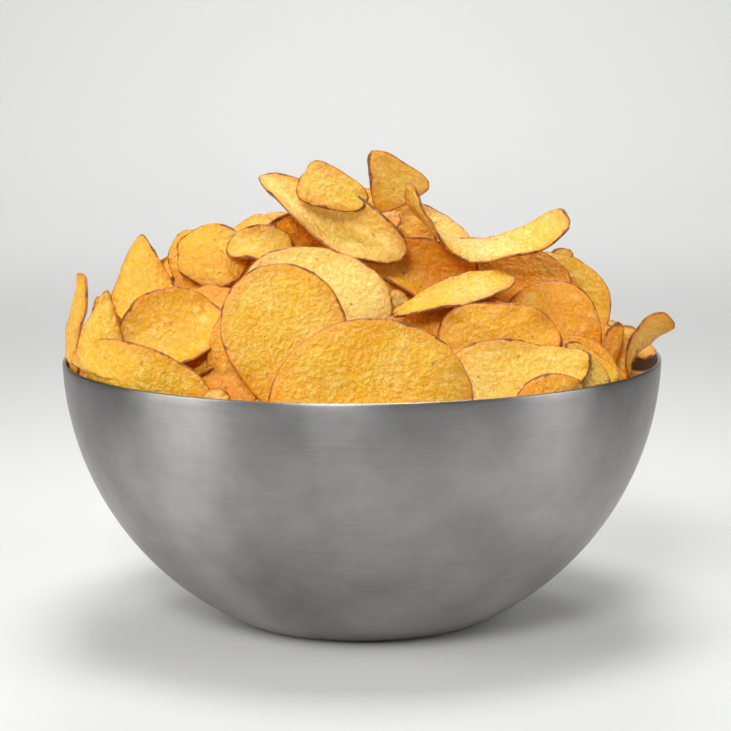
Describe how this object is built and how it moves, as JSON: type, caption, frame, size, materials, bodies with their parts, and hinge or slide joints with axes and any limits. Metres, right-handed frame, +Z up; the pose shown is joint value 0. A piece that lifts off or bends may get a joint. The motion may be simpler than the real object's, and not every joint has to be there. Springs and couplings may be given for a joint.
{
  "type": "bowl of crisps",
  "caption": "A round steel serving bowl heaped high with thin curled crisps.",
  "frame": {"origin": "the centre of the bowl's flat base", "axes": "+Z up, -Y towards the viewer, +X to the viewer's right"},
  "size_m": [0.2014, 0.2, 0.1571],
  "materials": {
    "steel": "satin",
    "fried_potato": "matte"
  },
  "bodies": {
    "root": {"bowl": "steel", "crisps": "fried_potato"}
  },
  "joints": []
}
